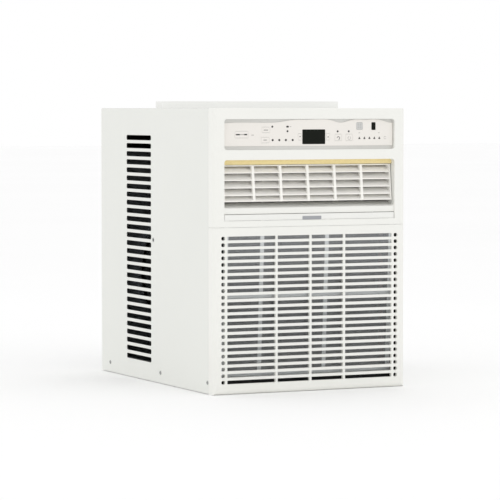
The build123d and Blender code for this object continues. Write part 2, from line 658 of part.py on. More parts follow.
def coil_fins(half, count, depths, heights, thickness):
    """Evenly spaced fins of a coil, each a separate sheet pressed onto the tubes."""
    pitch = (2 * half - thickness) / (count - 1)
    with Locations((0, front(middle(depths)), middle(heights))):
        with GridLocations(pitch, 1, count, 1):
            Box(thickness, depths[1] - depths[0], heights[1] - heights[0])


with BuildPart() as evaporator_fins:
    coil_fins(EVAPORATOR_HALF - 2, 56, EVAPORATOR_DEPTHS, EVAPORATOR_HEIGHTS, 0.8)
evaporator_fins.part.label = "evaporator_fins"
export_step(evaporator_fins.part, "parts/evaporator_fins.step")

with BuildPart() as evaporator_tubes:
    add(coil_tubes(EVAPORATOR_HALF + COIL_PLATE, EVAPORATOR_COLUMNS, evaporator_rows))
evaporator_tubes.part.label = "evaporator_tubes"
export_step(evaporator_tubes.part, "parts/evaporator_tubes.step")

with BuildPart() as evaporator_plates:
    plate = coil_sheet((46, 84), (5, 325), EVAPORATOR_COLUMNS, evaporator_rows, TUBE_R)
    for x in (-EVAPORATOR_HALF - COIL_PLATE, EVAPORATOR_HALF):
        with BuildSketch(Plane.YZ.offset(x)):
            add(plate)
    extrude(amount=COIL_PLATE)
evaporator_plates.part.label = "evaporator_plates"
export_step(evaporator_plates.part, "parts/evaporator_plates.step")

with BuildPart() as condenser_fins:
    coil_fins(CONDENSER_HALF - 2, 50, CONDENSER_DEPTHS, CONDENSER_HEIGHTS, 0.8)
condenser_fins.part.label = "condenser_fins"
export_step(condenser_fins.part, "parts/condenser_fins.step")

with BuildPart() as condenser_tubes:
    add(coil_tubes(CONDENSER_HALF + COIL_PLATE, CONDENSER_COLUMNS, condenser_rows))
condenser_tubes.part.label = "condenser_tubes"
export_step(condenser_tubes.part, "parts/condenser_tubes.step")

with BuildPart() as condenser_plates:
    plate = coil_sheet((478, 526), (5, 500), CONDENSER_COLUMNS, condenser_rows, TUBE_R)
    for x in (-CONDENSER_HALF - COIL_PLATE, CONDENSER_HALF):
        with BuildSketch(Plane.YZ.offset(x)):
            add(plate)
    extrude(amount=COIL_PLATE)
condenser_plates.part.label = "condenser_plates"
export_step(condenser_plates.part, "parts/condenser_plates.step")

# ---------------------------------------------------------------- air movers
SCROLL_DEPTHS = (92.3, 200.0)
SCROLL_HALF = 180.0
SCROLL_TOP_Z = 434.0
INLET_R = 78.0

with BuildPart() as blower_scroll:
    block((-SCROLL_HALF, SCROLL_HALF), SCROLL_DEPTHS, (60, SCROLL_TOP_Z))
    inner = (SCROLL_DEPTHS[0] + PLASTIC, SCROLL_DEPTHS[1] - PLASTIC)
    # round chamber of the wheel, opening upwards into the throat behind the outlet
    rod_y(WHEEL_R + 22, 0, inner, SHAFT_Z, Mode.SUBTRACT)
    block((-SCROLL_HALF + PLASTIC, SCROLL_HALF - PLASTIC), inner, (SHAFT_Z + 110, SCROLL_TOP_Z - PLASTIC),
          Mode.SUBTRACT)
    # hollows left and right of the chamber keep the moulding light
    for side in (-1, 1):
        corner = sorted((side * (SCROLL_HALF - 40), side * (SCROLL_HALF - PLASTIC)))
        block(corner, (inner[0], SCROLL_DEPTHS[1] + 1), (63, SHAFT_Z + 105), Mode.SUBTRACT)
    rod_y(INLET_R, 0, (SCROLL_DEPTHS[0] - 1, inner[0] + 1), SHAFT_Z, Mode.SUBTRACT)
    rod_y(SHAFT_R + 4, 0, (inner[1] - 1, SCROLL_DEPTHS[1] + 1), SHAFT_Z, Mode.SUBTRACT)
    block((-OUTLET_HALF, OUTLET_HALF), (SCROLL_DEPTHS[0] - 1, inner[0] + 1), DUCT_Z, Mode.SUBTRACT)
blower_scroll.part.label = "blower_scroll"
export_step(blower_scroll.part, "parts/blower_scroll.step")

BLOWER_BLADES = 30
with BuildPart() as blower_wheel:
    rod_y(WHEEL_R, 0, (178, 181), SHAFT_Z)
    rod_y(14, 0, (166, 181), SHAFT_Z)
    rod_y(WHEEL_R, 0, (108, 111), SHAFT_Z)
    rod_y(WHEEL_R - 18, 0, (107, 112), SHAFT_Z, Mode.SUBTRACT)
    with BuildSketch(front_plane(111)):
        with Locations((0, SHAFT_Z)):
            with PolarLocations(WHEEL_R - 9, BLOWER_BLADES):
                Rectangle(15, 1.4, rotation=40)
    extrude(amount=-67)
    rod_y(SHAFT_R, 0, (150, 190), SHAFT_Z, Mode.SUBTRACT)
blower_wheel.part.label = "blower_wheel"
export_step(blower_wheel.part, "parts/blower_wheel.step")

with BuildPart() as motor_shaft:
    rod_y(SHAFT_R, 0, (160, 440), SHAFT_Z)
motor_shaft.part.label = "motor_shaft"
export_step(motor_shaft.part, "parts/motor_shaft.step")

FAN_BLADES = 5
FAN_HUB_R = 28.0
FAN_PITCH = 24.0
with BuildPart() as condenser_fan:
    rod_y(FAN_HUB_R, 0, (404, 436), SHAFT_Z)
    for number in range(FAN_BLADES):
        turn = number * 360 / FAN_BLADES
        blade_plane = Plane(Location((0, front(420), SHAFT_Z), (90, 0, 0)) * Location((0, 0, 0), (0, 0, turn))
                            * Location((0, 0, 0), (FAN_PITCH, 0, 0)))
        with BuildSketch(blade_plane):
            with BuildLine():
                Polyline((FAN_HUB_R - 6, -12), (FAN_R - 8, -32), (FAN_R, 0), (FAN_R - 8, 32),
                         (FAN_HUB_R - 6, 12), close=True)
            make_face()
        extrude(amount=1.2, both=True)
    # slinger ring that throws condensate onto the hot coil
    with BuildSketch(front_plane(412)):
        with Locations((0, SHAFT_Z)):
            Circle(FAN_R + 2)
            Circle(FAN_R - 2, mode=Mode.SUBTRACT)
    extrude(amount=-16)
    rod_y(SHAFT_R, 0, (400, 437), SHAFT_Z, Mode.SUBTRACT)
condenser_fan.part.label = "condenser_fan"
export_step(condenser_fan.part, "parts/condenser_fan.step")

with BuildPart() as fan_shroud:
    block((-180, 180), (446, 448), (8, 440))
    rod_y(FAN_R + 10, 0, (428, 448), SHAFT_Z)
    rod_y(FAN_R + 8, 0, (427, 449), SHAFT_Z, Mode.SUBTRACT)
fan_shroud.part.label = "fan_shroud"
export_step(fan_shroud.part, "parts/fan_shroud.step")

MOTOR_R = 52.0
MOTOR_DEPTHS = (212.0, 300.0)
with BuildPart() as fan_motor:
    rod_y(MOTOR_R, 0, MOTOR_DEPTHS, SHAFT_Z)
    fillet(fan_motor.edges().filter_by(GeomType.CIRCLE), 8)
    rod_y(14, 0, (MOTOR_DEPTHS[0] - 5, MOTOR_DEPTHS[1] + 5), SHAFT_Z)
    rod_y(SHAFT_R + RUNNING_FIT, 0, (MOTOR_DEPTHS[0] - 9, MOTOR_DEPTHS[1] + 9), SHAFT_Z, Mode.SUBTRACT)
fan_motor.part.label = "fan_motor"
export_step(fan_motor.part, "parts/fan_motor.step")

with BuildPart() as motor_bracket:
    rod_y(MOTOR_R + 3, 0, (240, 270), SHAFT_Z)
    block((-50, 50), (240, 270), (FLOOR_Z[1], SHAFT_Z))
    block((-47, 47), (239, 271), (FLOOR_Z[1] + 3, SHAFT_Z - 20), Mode.SUBTRACT)
    block((-75, 75), (235, 275), (FLOOR_Z[1], FLOOR_Z[1] + 3))
    rod_y(MOTOR_R, 0, (239, 271), SHAFT_Z, Mode.SUBTRACT)
motor_bracket.part.label = "motor_bracket"
export_step(motor_bracket.part, "parts/motor_bracket.step")

with BuildPart() as bulkhead:
    block((-case_half + 3.5, case_half - 3.5), (202, 204), (FLOOR_Z[1], HEIGHT - 3))
    rod_y(30, 0, (201, 205), SHAFT_Z, Mode.SUBTRACT)
    block((182, 200), (201, 205), (38, 108), Mode.SUBTRACT)
    block((-190, -150), (201, 205), (470, 500), Mode.SUBTRACT)
bulkhead.part.label = "bulkhead"
export_step(bulkhead.part, "parts/bulkhead.step")

# ---------------------------------------------------------------- refrigerant circuit
COMPRESSOR = (125.0, 292.0)                  # X and depth of its axis
COMPRESSOR_R = 56.0
COMPRESSOR_Z = (24.0, 240.0)
BOLT_CIRCLE_R = 66.0
ACCUMULATOR = (140.0, 374.0)
ACCUMULATOR_Z = (55.0, 190.0)
foot_places = [
    (COMPRESSOR[0] + BOLT_CIRCLE_R * cos(radians(angle)), COMPRESSOR[1] + BOLT_CIRCLE_R * sin(radians(angle)))
    for angle in (60, 180, 300)
]

with BuildPart() as compressor:
    rod_z(COMPRESSOR_R, COMPRESSOR[0], COMPRESSOR[1], COMPRESSOR_Z)
    fillet(compressor.edges().filter_by(GeomType.CIRCLE), 26)
    for x, depth in foot_places:
        span = ((COMPRESSOR[0] + x) / 2, (COMPRESSOR[1] + depth) / 2)
        rod_z(15, x, depth, (COMPRESSOR_Z[0] - 3, COMPRESSOR_Z[0]))
        rod_z(34, span[0], span[1], (COMPRESSOR_Z[0] - 3, COMPRESSOR_Z[0]))
        rod_z(5.2, x, depth, (COMPRESSOR_Z[0] - 4, COMPRESSOR_Z[0] + 1), Mode.SUBTRACT)
    rod_z(5, COMPRESSOR[0], COMPRESSOR[1], (COMPRESSOR_Z[1] - 2, COMPRESSOR_Z[1] + 6))
    block((COMPRESSOR[0] + 15, COMPRESSOR[0] + 45), (COMPRESSOR[1] - 18, COMPRESSOR[1] + 8), (200, 238))
compressor.part.label = "compressor"
export_step(compressor.part, "parts/compressor.step")

with BuildPart() as compressor_grommets:
    for x, depth in foot_places:
        rod_z(11, x, depth, (FLOOR_Z[1], COMPRESSOR_Z[0] - 3))
        rod_z(3.1, x, depth, (FLOOR_Z[1] - 1, COMPRESSOR_Z[0]), Mode.SUBTRACT)
compressor_grommets.part.label = "compressor_grommets"
export_step(compressor_grommets.part, "parts/compressor_grommets.step")

with BuildPart() as compressor_bolts:
    for x, depth in foot_places:
        rod_z(3.0, x, depth, (FLOOR_Z[1], COMPRESSOR_Z[0] + 4))
        with BuildSketch(Plane.XY.offset(COMPRESSOR_Z[0])):
            with Locations((x, front(depth))):
                RegularPolygon(6.5, 6)
        extrude(amount=4)
compressor_bolts.part.label = "compressor_bolts"
export_step(compressor_bolts.part, "parts/compressor_bolts.step")

with BuildPart() as accumulator:
    rod_z(20, ACCUMULATOR[0], ACCUMULATOR[1], ACCUMULATOR_Z)
    fillet(accumulator.edges().filter_by(GeomType.CIRCLE), 12)
    # foot bracket that ties it to the compressor's shell
    block((ACCUMULATOR[0] - 12, ACCUMULATOR[0] - 6), (COMPRESSOR[1] + 56.5, ACCUMULATOR[1] - 15), (110, 130))
accumulator.part.label = "accumulator"
export_step(accumulator.part, "parts/accumulator.step")


def pipe(points, radius, bend):
    """Pipe along a path of (X, depth, Z) points with equal bends."""
    with BuildPart() as tube:
        with BuildLine() as path:
            FilletPolyline(*[(x, front(depth), z) for x, depth, z in points], radius=bend)
        with BuildSketch(Plane(origin=path.line @ 0, z_dir=path.line % 0)):
            Circle(radius)
        sweep()
    return tube.part


coil_end = EVAPORATOR_HALF + COIL_PLATE
condenser_end = CONDENSER_HALF + COIL_PLATE
with BuildPart() as suction_pipe:
    add(pipe([(coil_end, 72, 50), (188.5, 72, 50), (188.5, 72, 90), (188.5, 374, 90), (188.5, 374, 225),
              (ACCUMULATOR[0], 374, 225), (ACCUMULATOR[0], 374, ACCUMULATOR_Z[1])], 4.5, 10))
suction_pipe.part.label = "suction_pipe"
export_step(suction_pipe.part, "parts/suction_pipe.step")

with BuildPart() as discharge_pipe:
    add(pipe([(COMPRESSOR[0], COMPRESSOR[1], COMPRESSOR_Z[1] + 6), (COMPRESSOR[0], COMPRESSOR[1], 275),
              (187, COMPRESSOR[1], 275), (187, 462, 275), (187, 462, 30), (187, 492, 30),
              (condenser_end, 492, 30)], 4.0, 6.5))
discharge_pipe.part.label = "discharge_pipe"
export_step(discharge_pipe.part, "parts/discharge_pipe.step")

with BuildPart() as capillary_tube:
    add(pipe([(coil_end, 58, 50), (193.8, 58, 50), (193.8, 512, 50), (193.8, 512, 30), (condenser_end, 512, 30)],
             1.2, 9))
capillary_tube.part.label = "capillary_tube"
export_step(capillary_tube.part, "parts/capillary_tube.step")

# ---------------------------------------------------------------- electrics
with BuildPart() as control_box:
    block((60, 186), (100, 198), (440, 516))
    block((61.5, 184.5), (99, 196.5), (441.5, 514.5), Mode.SUBTRACT)
control_box.part.label = "control_box"
export_step(control_box.part, "parts/control_box.step")

with BuildPart() as run_capacitor:
    rod_x(20, (80, 150), 150, 461.5)
    fillet(run_capacitor.edges().filter_by(GeomType.CIRCLE), 3)
    for depth in (143, 157):
        rod_x(2.5, (149, 158), depth, 461.5)
run_capacitor.part.label = "run_capacitor"
export_step(run_capacitor.part, "parts/run_capacitor.step")
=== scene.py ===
# %% [markdown]
# # A slider-window air conditioner
# The case, grille, louvre and every moving part come from the imported model. This lesson
# gives them their finishes, and adds the fine pieces that are too small or too many for
# the model: the weave of the filter, the thin fins of the coils, the printing on the panel
# and the heads of the screws. We load the model first. Nothing that we add may stand
# outside it.

# %% The frame
import math

import bmesh
import bpy
from mathutils import Matrix, Vector


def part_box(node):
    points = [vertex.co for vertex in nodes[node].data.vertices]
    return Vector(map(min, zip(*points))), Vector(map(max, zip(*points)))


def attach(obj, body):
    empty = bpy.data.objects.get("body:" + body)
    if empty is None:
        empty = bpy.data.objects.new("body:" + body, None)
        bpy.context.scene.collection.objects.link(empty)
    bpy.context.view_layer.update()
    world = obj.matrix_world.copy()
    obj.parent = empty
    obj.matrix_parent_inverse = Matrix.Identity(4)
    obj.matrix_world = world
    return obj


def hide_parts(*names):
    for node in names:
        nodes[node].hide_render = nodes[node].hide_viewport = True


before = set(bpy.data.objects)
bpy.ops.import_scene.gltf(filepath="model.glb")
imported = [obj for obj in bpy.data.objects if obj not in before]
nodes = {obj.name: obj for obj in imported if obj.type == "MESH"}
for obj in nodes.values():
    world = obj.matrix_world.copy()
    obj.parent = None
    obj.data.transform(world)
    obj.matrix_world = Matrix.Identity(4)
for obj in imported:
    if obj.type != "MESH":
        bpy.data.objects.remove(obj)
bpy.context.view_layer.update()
MM = 0.001

# %% [markdown]
# ## Places
# All places are read from the model. The grille gives the front face, and the sheet case
# gives the width, the top and the rear. A depth is measured backwards from the front face.

# %% Places on the case
front_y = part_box("intake_grille")[0].y
case_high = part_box("cabinet")[1]
half_width = case_high.x
case_top = case_high.z
case_rear = case_high.y


def at_depth(depth):
    """Y of a place this many millimetres behind the front face."""
    return front_y + depth * MM


case_places = {"front": front_y, "half width": half_width, "top": case_top, "rear": case_rear}
print({label: round(value, 4) for label, value in case_places.items()})

# %% [markdown]
# ## Camera, floor and light
# A product picture is taken from far away with a long lens, so that the upright edges stay
# nearly parallel. The camera stands to the left at the height of the top and looks down
# a little. The floor is one broad pale sheet. Large soft lights and a white
# surround keep every shadow faint, apart from the thin one under the unit.

# %% Camera
eye = Vector((-2.236, -4.718, 0.525))
heading = math.radians(25.385)
tilt = math.radians(3.02)
camera_data = bpy.data.cameras.new("studio_camera")
camera_data.lens = 193.7
camera_data.sensor_width = 36.0
camera = bpy.data.objects.new("studio_camera", camera_data)
camera.location = eye
camera.rotation_euler = (math.pi / 2 - tilt, 0, -heading)
bpy.context.scene.collection.objects.link(camera)
bpy.context.scene.camera = camera
print("camera at", tuple(round(value, 3) for value in eye))


# %% Light
def soft_light(name, place, target, size, power):
    """A large square light that looks from its place at a target."""
    data = bpy.data.lights.new(name, "AREA")
    data.size = size
    data.energy = power
    light = bpy.data.objects.new(name, data)
    light.location = place
    light.rotation_euler = (Vector(target) - Vector(place)).to_track_quat("-Z", "Y").to_euler()
    bpy.context.scene.collection.objects.link(light)


MIDDLE = (0, 0, 0.25)
FOOT = (0, 0, 0)
soft_light("front_light", (1.4, -3.2, 2.2), MIDDLE, 2.4, 4)
soft_light("side_light", (-3.4, -0.8, 1.8), MIDDLE, 2.4, 1)
soft_light("top_light", (0, 0.3, 3.2), FOOT, 3.0, 3)
world = bpy.data.worlds.new("white_surround")
world.use_nodes = True
surround = world.node_tree.nodes["Background"].inputs
surround["Color"].default_value = (1, 1, 1, 1)
surround["Strength"].default_value = 1.0
bpy.context.scene.world = world
bpy.context.scene.view_settings.view_transform = "Standard"
print("lights", len(bpy.data.lights))


# %% [markdown]
# ## Writing shader maths
# A finish is easier to read as an expression than as a list of nodes. The small class
# below wraps a socket, so that adding or multiplying it makes the Math node that does it.
# The second class holds one material and makes any other node from its type, its settings
# and what goes in its sockets.

# %% Values that write their own nodes
class Value:
    """A shader socket; an expression with it adds Math nodes."""

    def __init__(self, finish, socket):
        self.finish = finish
        self.socket = socket

    def math(self, operation, first, second=0.0, clamp=False):
        settings = {"operation": operation, "use_clamp": clamp}
        made = self.finish.node("ShaderNodeMath", settings, {0: first, 1: second})
        return Value(self.finish, made.outputs[0])

    def __add__(self, other):
        return self.math("ADD", self, other)

    def __mul__(self, other):
        return self.math("MULTIPLY", self, other)

    def __sub__(self, other):
        return self.math("SUBTRACT", self, other)

    def __rsub__(self, other):
        return self.math("SUBTRACT", other, self)

    def __gt__(self, other):
        return self.math("GREATER_THAN", self, other)

    __radd__ = __add__

    def clamped(self):
        """The value kept between 0 and 1."""
        return self.math("ADD", self, 0.0, clamp=True)

    def size(self):
        """The value without its sign."""
        return self.math("ABSOLUTE", self)


def srgb(red, green, blue):
    """A colour on the usual 0 to 255 scale as the shader wants it."""
    def linear(value):
        value /= 255
        return value / 12.92 if value <= 0.04045 else ((value + 0.055) / 1.055) ** 2.4

    return (linear(red), linear(green), linear(blue), 1.0)


print("srgb white", srgb(255, 255, 255))


# %% One material as an object
class Finish:
    """A material with one Principled shader and patterns in the object's own coordinates."""

    def __init__(self, name, colour, roughness, metallic=0.0, coat=0.0, coat_roughness=0.2):
        self.material = bpy.data.materials.new(name)
        self.material.use_nodes = True
        self.tree = self.material.node_tree
        self.shader = self.tree.nodes["Principled BSDF"]
        self.place = self.node("ShaderNodeTexCoord").outputs["Object"]
        self.give("Base Color", colour)
        self.give("Roughness", roughness)
        self.give("Metallic", metallic)
        self.give("Coat Weight", coat)
        self.give("Coat Roughness", coat_roughness)

    def feed(self, socket, value):
        """Put a number in a socket, or a link from a value or another socket."""
        value = value.socket if isinstance(value, Value) else value
        if isinstance(value, bpy.types.NodeSocket):
            self.tree.links.new(value, socket)
        else:
            socket.default_value = value

    def give(self, label, value):
        """Set one input of the shader."""
        self.feed(self.shader.inputs[label], value)

    def node(self, kind, settings=None, inputs=None):
        """Any node: its settings first, then its sockets."""
        made = self.tree.nodes.new(kind)
        for key, value in (settings or {}).items():
            setattr(made, key, value)
        for key, value in (inputs or {}).items():
            self.feed(made.inputs[key], value)
        return made

    def stretched(self, scale):
        """The object's coordinates times a scale on each axis."""
        inputs = {"Vector": self.place, "Scale": scale}
        return self.node("ShaderNodeMapping", {}, inputs).outputs[0]

    def noise(self, scale, detail=2.0, roughness=0.5, stretch=(1, 1, 1)):
        """Soft noise around 0.5; scale is in waves per metre."""
        inputs = {"Vector": self.stretched(stretch), "Scale": scale}
        inputs |= {"Detail": detail, "Roughness": roughness}
        return Value(self, self.node("ShaderNodeTexNoise", {}, inputs).outputs[0])

    def cells(self, scale):
        """Distance from the middles of random cells; scale is in cells per metre."""
        inputs = {"Vector": self.stretched((1, 1, 1)), "Scale": scale}
        made = self.node("ShaderNodeTexVoronoi", {"feature": "F1"}, inputs)
        return Value(self, made.outputs["Distance"])

    def axis(self, letter):
        """One of the object's coordinates, in metres."""
        return Value(self, self.node("ShaderNodeSeparateXYZ", {}, {0: self.place}).outputs[letter])

    def mix(self, factor, first, second):
        """A blend of two colours."""
        inputs = {0: factor, 6: first, 7: second}
        return self.node("ShaderNodeMix", {"data_type": "RGBA"}, inputs).outputs[2]

    def bump(self, height, distance, strength=1.0):
        """Raise the surface by a pattern, distance in metres."""
        inputs = {"Height": height, "Distance": distance, "Strength": strength}
        self.give("Normal", self.node("ShaderNodeBump", {}, inputs).outputs[0])


print("shader helpers ready")


# %% [markdown]
# ## Moulded plastic
# The front, the louvre and the filter are injection mouldings with a fine spark-eroded
# grain. The grain is a very fine bump, the tone drifts slightly over hand-sized areas,
# and rubbed patches are a little smoother. Dust gathers towards the foot. One function
# makes all of these but the filter, because the real pieces share one process and differ
# in pigment. The filter's function keeps its top strip white and paints the rest of the
# frame grey, as painted shade where it stands behind the grille.

# %% Moulded plastic finishes
def shade(colour, factor):
    """The colour made darker or lighter by a factor."""
    return tuple(min(1.0, channel * factor) for channel in colour[:3]) + (1.0,)


def moulded(name, colour, roughness=0.42, grain=900.0, depth=0.00002, drift=0.035,
            dust=0.0, coat=0.0):
    """A plastic moulding with pigment drift, rubbed patches, dust and a fine grain."""
    finish = Finish(name, colour, roughness, coat=coat)
    cloud = finish.noise(7.0, 3.0, 0.6)
    speck = finish.noise(260.0, 2.0, 0.7)
    rubbed = finish.noise(28.0, 4.0, 0.65, (1, 1, 0.4))
    tone = (cloud * 0.75 + speck * 0.25).clamped()
    pigment = finish.mix(tone, shade(colour, 1 - drift), shade(colour, 1 + drift))
    if dust:
        low = (1.0 - finish.axis("Z") * 9.0).clamped()
        film = (low * rubbed * dust).clamped()
        pigment = finish.mix(film, pigment, srgb(178, 172, 158))
    finish.give("Base Color", pigment)
    finish.give("Roughness", (roughness - 0.09 + rubbed * 0.18).clamped())
    finish.bump(finish.noise(grain, 3.0, 0.7) + cloud * 0.3, depth)
    return finish.material


def strip_and_painted_shade(name, above, below, height):
    """A moulding whose upper strip keeps its own white and whose rest is painted grey as shade."""
    finish = Finish(name, below, 0.5)
    cloud = finish.noise(7.0, 3.0, 0.6)
    speck = finish.noise(260.0, 2.0, 0.7)
    strip = finish.axis("Z") > height
    tone = (cloud * 0.7 + speck * 0.3).clamped()
    # The grey below the strip is painted shade where the frame stands behind the grille.
    darker = finish.mix(tone, shade(below, 0.94), shade(below, 1.05))
    lighter = finish.mix(tone, shade(above, 0.97), shade(above, 1.03))
    finish.give("Base Color", finish.mix(strip, darker, lighter))
    finish.give("Roughness", (speck * 0.16 + 0.42).clamped())
    finish.bump(finish.noise(900.0, 3.0, 0.7), 0.00002)
    return finish.material


STRIP_HEIGHT = 318.6 * MM
front_plastic = moulded("satin_white_moulding", srgb(240, 240, 235), 0.4, dust=0.12)
louvre_plastic = moulded("louvre_moulding", srgb(247, 245, 240), 0.38, depth=0.00001)
filter_plastic = strip_and_painted_shade(
    "filter_moulding_painted_shade", srgb(239, 239, 235), srgb(216, 219, 221), STRIP_HEIGHT)
panel_film = moulded(
    "control_panel_film", srgb(237, 233, 227), 0.33, 1500.0, 0.000008, 0.012)
# The bezel's grey is painted shade for the recess round the control panel.
bezel_painted_shade = moulded("bezel_moulding_painted_shade", srgb(214, 213, 209), 0.45)
tab_plastic = moulded("grey_tab_moulding", srgb(160, 162, 166), 0.5)
sleep_plastic = moulded("grey_key_moulding", srgb(202, 202, 200), 0.4)
fan_plastic = moulded(
    "glass_filled_moulding", srgb(58, 60, 62), 0.55, 600.0, 0.00004, 0.12)
motor_paint = moulded("motor_paint", srgb(112, 116, 118), 0.45, 500.0, 0.00003, 0.08)
black_enamel = moulded(
    "black_enamel", srgb(26, 26, 28), 0.28, 180.0, 0.00003, 0.1, coat=0.4)
print("mouldings", len(bpy.data.materials))


# %% [markdown]
# ## Painted and bare steel
# The case is bent sheet with a baked powder coat on its outside. Such a coat has a faint
# orange peel and tiny specks. Its inner side is painted near-black as painted shade, which
# makes the slots look deep, so the finish needs to know which side of the sheet it is on: it
# compares its own place with the outer faces of the case, which costs no extra material.
# Bare metals follow: brushed, drawn or spangled, with patches of tarnish.

# %% Powder coat with painted shade inside
SHEET_DEPTH = 0.7 * MM
REAR_DEPTH = 2.6 * MM
PAN_DEPTH = 3.3 * MM


def powder_coat(name, colour):
    """Baked coat outside, near-black painted shade on the inner side of the sheet."""
    finish = Finish(name, colour, 0.42)
    peel = finish.noise(190.0, 2.0, 0.5)
    speck = finish.noise(1100.0, 2.0, 0.8)
    cloud = finish.noise(4.0, 3.0, 0.55)
    sides = finish.axis("X").size() > half_width - SHEET_DEPTH
    roof = finish.axis("Z") > case_top - SHEET_DEPTH
    rear = finish.axis("Y") > case_rear - REAR_DEPTH
    under = PAN_DEPTH - finish.axis("Z") > 0.0
    outside = (sides + roof + rear + under).clamped()
    tone = (cloud * 0.7 + speck * 0.3).clamped()
    coat = finish.mix(tone, shade(colour, 0.972), shade(colour, 1.028))
    # Inside the case the near-black is painted shade, so that the slots look dark.
    finish.give("Base Color", finish.mix(outside, srgb(26, 27, 28), coat))
    finish.give("Roughness", (outside * -0.22 + 0.56 + speck * 0.16).clamped())
    finish.bump(peel * 0.7 + speck * 0.3, 0.00003)
    return finish.material


case_coat_painted_shade_inside = powder_coat("powder_coated_case_painted_shade_inside", srgb(232, 233, 228))
rail_coat = moulded("powder_coated_rail", srgb(244, 244, 242), 0.4, 190.0, 0.00003)
guard_coat = moulded("powder_coated_guard", srgb(231, 232, 227), 0.42, 190.0, 0.00003)
print("coats", case_coat_painted_shade_inside.name, rail_coat.name)


# %% Bare metals
def bare_metal(name, colour, roughness, grain=(1, 1, 1), spangle=0.0, stain=None):
    """Metal with brushed or drawn streaks, zinc flowers if wanted, and patches of tarnish."""
    finish = Finish(name, colour, roughness, metallic=1.0)
    streak = finish.noise(320.0, 4.0, 0.7, grain)
    patch = finish.noise(16.0, 4.0, 0.65)
    surface = finish.mix(streak, shade(colour, 0.86), shade(colour, 1.08))
    if spangle:
        flowers = finish.cells(90.0)
        surface = finish.mix(flowers * spangle, surface, shade(colour, 0.6))
    if stain:
        surface = finish.mix((patch * 2.4 - 1.1).clamped(), surface, stain)
    finish.give("Base Color", surface)
    finish.give("Metallic", (1.0 - (patch * 0.5 - 0.15).clamped()).clamped())
    finish.give("Roughness", (roughness - 0.08 + streak * 0.2 + patch * 0.08).clamped())
    finish.bump(streak, 0.00001)
    return finish.material


galvanised = bare_metal(
    "galvanised_sheet", srgb(150, 154, 158), 0.42, spangle=0.8, stain=srgb(110, 112, 112))
zinc_plate = bare_metal("zinc_plated_screw", srgb(178, 180, 178), 0.35, (1, 1, 6))
ground_steel = bare_metal("ground_shaft", srgb(150, 152, 155), 0.25, (1, 8, 1))
copper = bare_metal(
    "copper_tube", srgb(190, 118, 84), 0.32, (0.3, 1, 1), stain=srgb(110, 62, 44))
fin_metal = bare_metal(
    "fin_aluminium", srgb(120, 123, 126), 0.4, (1, 1, 0.2), stain=srgb(84, 86, 88))
can_metal = bare_metal("capacitor_can", srgb(190, 192, 195), 0.3, (6, 1, 1))
print("metals", galvanised.name, copper.name, fin_metal.name)

# %% [markdown]
# ## Foam, rubber, glass and ink
# Foam is all small cells, so a cell pattern drives both its bump and its pits, which are darkened
# as painted shade.
# Moulded white foam has larger beads that are pressed flat. Rubber is nearly black and
# dull. The display is a dark tinted window: very smooth, with a trace of haze where
# fingers have been. The circuit board has faint copper tracks under its green lacquer.


# %% Foam finishes
def foam(name, colour, pit_shade, scale, depth, roughness=0.85):
    """Cells whose pits are darkened with painted shade, drawn in the colour, the roughness and the
    bump.
    """
    finish = Finish(name, colour, roughness)
    distance = finish.cells(scale)
    cloud = finish.noise(22.0, 3.0, 0.6)
    hollow_shade = (distance * 1.3 - 0.25).clamped()
    body = finish.mix(cloud, shade(colour, 0.93), shade(colour, 1.06))
    # The pits are darkened as painted shade in the hollows between the cells.
    finish.give("Base Color", finish.mix(hollow_shade * 0.6, body, pit_shade))
    finish.give("Roughness", (roughness - 0.05 + hollow_shade * 0.1).clamped())
    finish.bump(1.0 - distance, depth)
    return finish.material


tan_foam = foam("tan_seal_foam", srgb(248, 230, 172), srgb(222, 198, 136), 620.0, 0.0003)
bead_foam = foam(
    "white_bead_foam", srgb(238, 236, 232), srgb(214, 211, 207), 240.0, 0.0002, 0.7)
print("foams", tan_foam.name, bead_foam.name)


# %% Rubber, window, board and ink
def black_rubber():
    """Dull rubber with bloom, the pale film that wax leaves on it."""
    finish = Finish("black_rubber", srgb(28, 28, 29), 0.75)
    bloom = finish.noise(60.0, 4.0, 0.7)
    finish.give("Base Color", finish.mix(bloom, srgb(20, 20, 21), srgb(52, 52, 52)))
    finish.give("Roughness", (bloom * 0.3 + 0.6).clamped())
    finish.bump(finish.noise(700.0, 3.0), 0.00003)
    return finish.material


def tinted_window():
    """Near-black green tint with a faint smear."""
    finish = Finish("tinted_window", srgb(14, 18, 12), 0.2)
    finish.give("Specular IOR Level", 0.12)
    smear = finish.noise(45.0, 5.0, 0.7, (1, 1, 2.5))
    finish.give("Base Color", finish.mix(smear, srgb(11, 15, 9), srgb(18, 22, 15)))
    finish.give("Roughness", (smear * 0.22 + 0.06).clamped())
    finish.bump(finish.noise(12.0, 1.0), 0.00002)
    return finish.material


def circuit_board():
    """Green lacquer over thin tracks."""
    finish = Finish("circuit_board", srgb(30, 84, 52), 0.35)
    inputs = {"Vector": finish.place, "Scale": 180.0}
    inputs |= {"Distortion": 6.0, "Detail": 1.0, "Detail Scale": 2.0}
    wave = finish.node("ShaderNodeTexWave", {"bands_direction": "X"}, inputs)
    track = Value(finish, wave.outputs[1]) > 0.7
    finish.give("Base Color", finish.mix(track, srgb(24, 72, 44), srgb(62, 128, 84)))
    finish.give("Roughness", track * -0.1 + 0.4)
    finish.bump(track, 0.00003)
    return finish.material


def ink(name, colour):
    """Screen-printed ink, slightly uneven where the mesh of the screen pressed it."""
    finish = Finish(name, colour, 0.55)
    speckle = finish.noise(1400.0, 2.0, 0.6)
    finish.give("Base Color", finish.mix(speckle, shade(colour, 0.8), shade(colour, 1.2)))
    finish.give("Roughness", (speckle * 0.2 + 0.45).clamped())
    finish.bump(speckle, 0.000004)
    return finish.material


